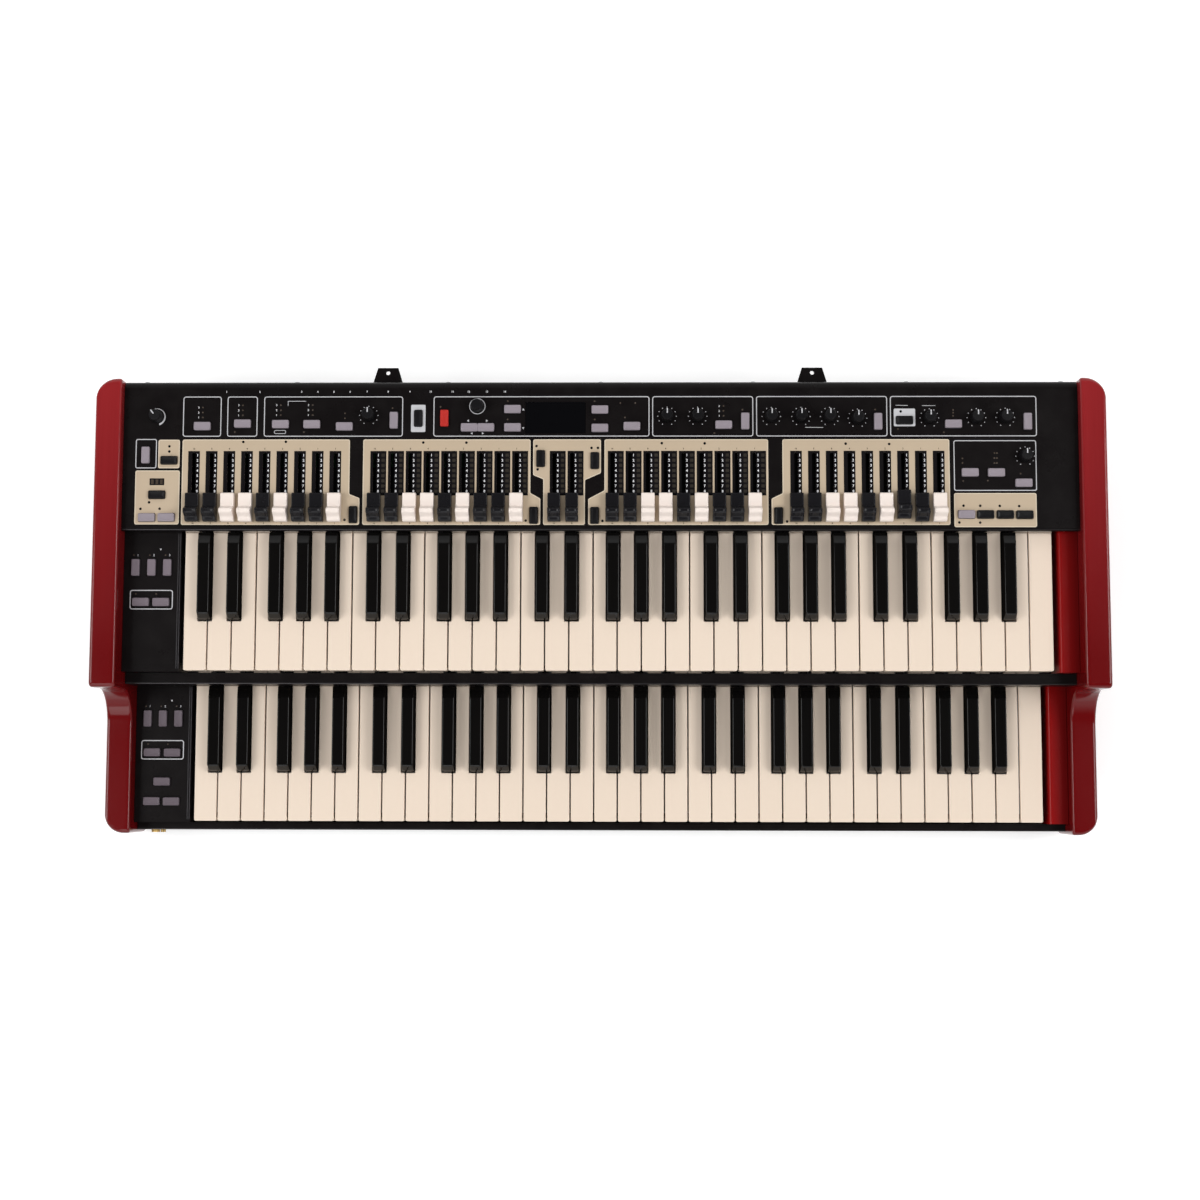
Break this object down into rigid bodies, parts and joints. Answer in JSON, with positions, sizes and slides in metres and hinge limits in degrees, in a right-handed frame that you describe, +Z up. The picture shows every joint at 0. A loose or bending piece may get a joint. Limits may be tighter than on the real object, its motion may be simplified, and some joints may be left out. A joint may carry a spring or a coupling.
{
  "type": "drawbar organ",
  "caption": "Portable drawbar organ with two stepped manuals between wooden cheeks, sliding drawbars, knobs, push buttons, a display and rear sockets.",
  "frame": {"origin": "centre of the bounding box in plan, at the underside of the rubber feet", "axes": "+X to the player's right along the manuals, +Y from the player to the rear panel, +Z up"},
  "size_m": [0.979, 0.459, 0.155],
  "materials": {
    "cheek_lacquer": "glossy red lacquer over fine grain",
    "case_steel": "satin black paint",
    "natural_keys": "polished cream",
    "sharp_keys": "polished black",
    "white_caps": "smooth white",
    "black_caps": "smooth black",
    "black_plastic": "fine satin",
    "grey_buttons": "satin lavender grey",
    "red_button": "satin red",
    "bare_steel": "zinc plated",
    "circuit_board": "green solder mask",
    "socket_brass": "dull gilt",
    "display_glass": "dark clear window",
    "foot_rubber": "matt black"
  },
  "bodies": {
    "case": {"bottom_pan": "case_steel", "rear_panel": "case_steel", "top_panel": "case_steel", "left_cheek": "cheek_lacquer", "right_cheek": "cheek_lacquer", "upper_key_slip": "case_steel", "lower_key_slip": "case_steel", "display_window": "display_glass", "panel_board": "circuit_board", "main_board": "circuit_board", "power_supply": "bare_steel", "rear_socket_field": "black_plastic", "power_inlet": "black_plastic", "headphone_sockets": "socket_brass", "left_stand_bracket": "case_steel", "right_stand_bracket": "case_steel", "upper_key_frame": "bare_steel", "lower_key_frame": "bare_steel", "upper_control_block": "black_plastic", "lower_control_block": "black_plastic", "upper_wooden_block": "cheek_lacquer", "lower_wooden_block": "cheek_lacquer", "front_left_foot": "foot_rubber", "front_right_foot": "foot_rubber", "rear_left_foot": "foot_rubber", "rear_right_foot": "foot_rubber"},
    "power_rocker": {"power_switch": "black_plastic"},
    "upper_natural_keys": {"upper_naturals": "natural_keys"},
    "upper_sharp_keys": {"upper_sharps": "sharp_keys"},
    "lower_natural_keys": {"lower_naturals": "natural_keys"},
    "lower_sharp_keys": {"lower_sharps": "sharp_keys"},
    "upper_block_push": {"upper_block_buttons": "grey_buttons"},
    "lower_block_push": {"lower_block_buttons": "grey_buttons"},
    "grey_push": {"grey_panel_buttons": "grey_buttons"},
    "black_push": {"black_panel_buttons": "black_plastic"},
    "store_push": {"store_button": "red_button"},
    "row_a_white": {"drawbars_a_white": "white_caps"},
    "row_a_black": {"drawbars_a_black": "black_caps"},
    "row_b_white": {"drawbars_b_white": "white_caps"},
    "row_b_black": {"drawbars_b_black": "black_caps"},
    "row_c_white": {"drawbars_c_white": "white_caps"},
    "row_c_black": {"drawbars_c_black": "black_caps"},
    "row_d_white": {"drawbars_d_white": "white_caps"},
    "row_d_black": {"drawbars_d_black": "black_caps"},
    "row_d_seventh": {"drawbar_d7": "black_caps"},
    "bass_first": {"bass_drawbar_1": "black_caps"},
    "bass_second": {"bass_drawbar_2": "black_caps"},
    "master_level": {"master_level_knob": "black_plastic"},
    "rotor_amount": {"rotor_amount_knob": "black_plastic"},
    "program": {"program_encoder": "black_plastic"},
    "modulation_rate": {"modulation_rate_knob": "black_plastic"},
    "modulation_amount": {"modulation_amount_knob": "black_plastic"},
    "equaliser_bass": {"equaliser_bass_knob": "black_plastic"},
    "equaliser_middle": {"equaliser_middle_knob": "black_plastic"},
    "equaliser_frequency": {"equaliser_frequency_knob": "black_plastic"},
    "equaliser_treble": {"equaliser_treble_knob": "black_plastic"},
    "delay_tempo": {"delay_tempo_knob": "black_plastic"},
    "delay_feedback": {"delay_feedback_knob": "black_plastic"},
    "delay_amount": {"delay_amount_knob": "black_plastic"},
    "reverb_amount": {"reverb_amount_knob": "black_plastic"}
  },
  "joints": [
    {"name": "power_rocker_tilt", "type": "hinge", "parent": "case", "child": "power_rocker", "pos_m": [0.19788, 0.21075, 0.06], "axis": [1, 0, 0], "range_deg": [0, 18]},
    {"name": "upper_naturals_press", "type": "hinge", "parent": "case", "child": "upper_natural_keys", "pos_m": [0, 0.1218, 0.102], "axis": [1, 0, 0], "range_deg": [0, 3], "stiffness_Nm_per_rad": 4, "springref_deg": -20.05},
    {"name": "upper_sharps_press", "type": "hinge", "parent": "case", "child": "upper_sharp_keys", "pos_m": [0, 0.1218, 0.102], "axis": [1, 0, 0], "range_deg": [0, 3], "stiffness_Nm_per_rad": 4, "springref_deg": -22.92},
    {"name": "lower_naturals_press", "type": "hinge", "parent": "case", "child": "lower_natural_keys", "pos_m": [0, -0.0249, 0.04], "axis": [1, 0, 0], "range_deg": [0, 3], "stiffness_Nm_per_rad": 4, "springref_deg": -20.05},
    {"name": "lower_sharps_press", "type": "hinge", "parent": "case", "child": "lower_sharp_keys", "pos_m": [0, -0.0249, 0.04], "axis": [1, 0, 0], "range_deg": [0, 3], "stiffness_Nm_per_rad": 4, "springref_deg": -22.92},
    {"name": "upper_block_press", "type": "slide", "parent": "case", "child": "upper_block_push", "axis": [0, 0, -1], "range_m": [0, 0.001], "stiffness_N_per_m": 300, "springref_m": -0.003},
    {"name": "lower_block_press", "type": "slide", "parent": "case", "child": "lower_block_push", "axis": [0, 0, -1], "range_m": [0, 0.001], "stiffness_N_per_m": 300, "springref_m": -0.003},
    {"name": "grey_press", "type": "slide", "parent": "case", "child": "grey_push", "axis": [0, 0, -1], "range_m": [0, 0.001], "stiffness_N_per_m": 400, "springref_m": -0.004},
    {"name": "black_press", "type": "slide", "parent": "case", "child": "black_push", "axis": [0, 0, -1], "range_m": [0, 0.001], "stiffness_N_per_m": 400, "springref_m": -0.004},
    {"name": "store_press", "type": "slide", "parent": "case", "child": "store_push", "axis": [0, 0, -1], "range_m": [0, 0.001], "stiffness_N_per_m": 300, "springref_m": -0.002},
    {"name": "row_a_white_slide", "type": "slide", "parent": "case", "child": "row_a_white", "axis": [0, 1, 0], "range_m": [0, 0.04]},
    {"name": "row_a_black_slide", "type": "slide", "parent": "case", "child": "row_a_black", "axis": [0, 1, 0], "range_m": [0, 0.04]},
    {"name": "row_b_white_slide", "type": "slide", "parent": "case", "child": "row_b_white", "axis": [0, 1, 0], "range_m": [0, 0.04]},
    {"name": "row_b_black_slide", "type": "slide", "parent": "case", "child": "row_b_black", "axis": [0, 1, 0], "range_m": [0, 0.04]},
    {"name": "row_c_white_slide", "type": "slide", "parent": "case", "child": "row_c_white", "axis": [0, 1, 0], "range_m": [0, 0.04]},
    {"name": "row_c_black_slide", "type": "slide", "parent": "case", "child": "row_c_black", "axis": [0, 1, 0], "range_m": [0, 0.04]},
    {"name": "row_d_white_slide", "type": "slide", "parent": "case", "child": "row_d_white", "axis": [0, 1, 0], "range_m": [0, 0.04]},
    {"name": "row_d_black_slide", "type": "slide", "parent": "case", "child": "row_d_black", "axis": [0, 1, 0], "range_m": [0, 0.04]},
    {"name": "row_d_seventh_slide", "type": "slide", "parent": "case", "child": "row_d_seventh", "axis": [0, 1, 0], "range_m": [-0.003, 0.037]},
    {"name": "bass_first_slide", "type": "slide", "parent": "case", "child": "bass_first", "axis": [0, 1, 0], "range_m": [0, 0.04]},
    {"name": "bass_second_slide", "type": "slide", "parent": "case", "child": "bass_second", "axis": [0, 1, 0], "range_m": [0, 0.04]},
    {"name": "master_level_turn", "type": "hinge", "parent": "case", "child": "master_level", "pos_m": [-0.43199, 0.17595, 0.14], "axis": [0, 0, 1], "range_deg": [-150, 150]},
    {"name": "rotor_amount_turn", "type": "hinge", "parent": "case", "child": "rotor_amount", "pos_m": [-0.22482, 0.17713, 0.14], "axis": [0, 0, 1], "range_deg": [-150, 150]},
    {"name": "program_turn", "type": "hinge", "parent": "case", "child": "program", "pos_m": [-0.11891, 0.18613, 0.14], "axis": [0, 0, 1], "continuous": true},
    {"name": "modulation_rate_turn", "type": "hinge", "parent": "case", "child": "modulation_rate", "pos_m": [0.06596, 0.1761, 0.14], "axis": [0, 0, 1], "range_deg": [-150, 150]},
    {"name": "modulation_amount_turn", "type": "hinge", "parent": "case", "child": "modulation_amount", "pos_m": [0.09569, 0.1761, 0.14], "axis": [0, 0, 1], "range_deg": [-150, 150]},
    {"name": "equaliser_bass_turn", "type": "hinge", "parent": "case", "child": "equaliser_bass", "pos_m": [0.16722, 0.17581, 0.14], "axis": [0, 0, 1], "range_deg": [-150, 150]},
    {"name": "equaliser_middle_turn", "type": "hinge", "parent": "case", "child": "equaliser_middle", "pos_m": [0.19602, 0.17581, 0.14], "axis": [0, 0, 1], "range_deg": [-150, 150]},
    {"name": "equaliser_frequency_turn", "type": "hinge", "parent": "case", "child": "equaliser_frequency", "pos_m": [0.22389, 0.17581, 0.14], "axis": [0, 0, 1], "range_deg": [-150, 150]},
    {"name": "equaliser_treble_turn", "type": "hinge", "parent": "case", "child": "equaliser_treble", "pos_m": [0.25083, 0.17403, 0.14], "axis": [0, 0, 1], "range_deg": [-150, 150]},
    {"name": "delay_tempo_turn", "type": "hinge", "parent": "case", "child": "delay_tempo", "pos_m": [0.3205, 0.17433, 0.14], "axis": [0, 0, 1], "range_deg": [-150, 150]},
    {"name": "delay_feedback_turn", "type": "hinge", "parent": "case", "child": "delay_feedback", "pos_m": [0.36603, 0.17448, 0.14], "axis": [0, 0, 1], "range_deg": [-150, 150]},
    {"name": "delay_amount_turn", "type": "hinge", "parent": "case", "child": "delay_amount", "pos_m": [0.3939, 0.17477, 0.14], "axis": [0, 0, 1], "range_deg": [-150, 150]},
    {"name": "reverb_amount_turn", "type": "hinge", "parent": "case", "child": "reverb_amount", "pos_m": [0.41248, 0.13672, 0.14], "axis": [0, 0, 1], "range_deg": [-150, 150]}
  ]
}
